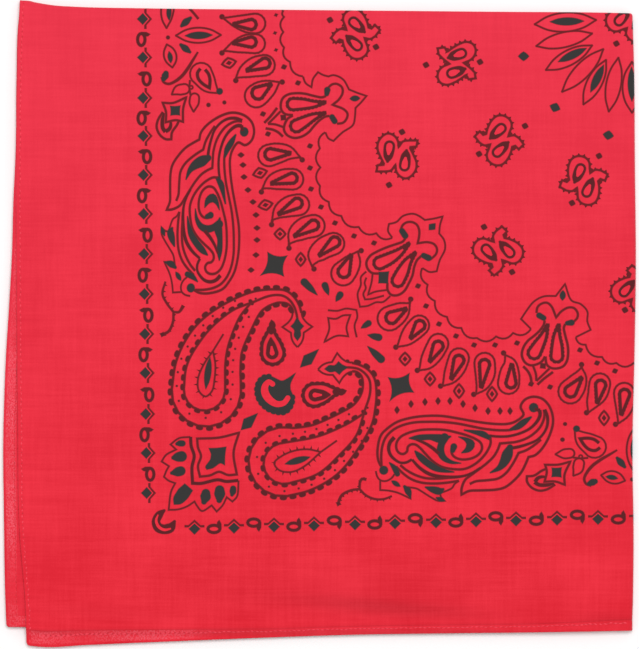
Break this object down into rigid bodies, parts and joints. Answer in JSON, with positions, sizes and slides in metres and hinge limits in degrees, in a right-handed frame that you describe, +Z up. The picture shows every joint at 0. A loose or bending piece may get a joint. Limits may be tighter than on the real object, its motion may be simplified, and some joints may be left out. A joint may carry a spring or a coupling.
{
  "type": "folded bandana",
  "caption": "Square printed cotton bandana with stitched hems, folded in quarters and lying flat.",
  "frame": {"origin": "centre of the folded cloth's footprint, on the surface it rests on", "axes": "+X towards the right-hand crease of the second fold, +Y towards the top crease of the first fold, +Z up from the surface"},
  "size_m": [0.282, 0.2884, 0.0061],
  "materials": {
    "printed_cotton": "matte plain-weave cotton, dyed red with a dark paisley print",
    "wrong_side_cotton": "matte plain-weave cotton, the red wrong side",
    "hem_cotton": "turned and stitched red cotton hem"
  },
  "bodies": {
    "root": {"front_quarter": "printed_cotton", "front_side_hem": "hem_cotton", "front_lower_hem": "hem_cotton", "under_quarter": "wrong_side_cotton", "under_side_hem": "wrong_side_cotton", "under_lower_hem": "wrong_side_cotton", "hidden_layers": "printed_cotton"}
  },
  "joints": []
}
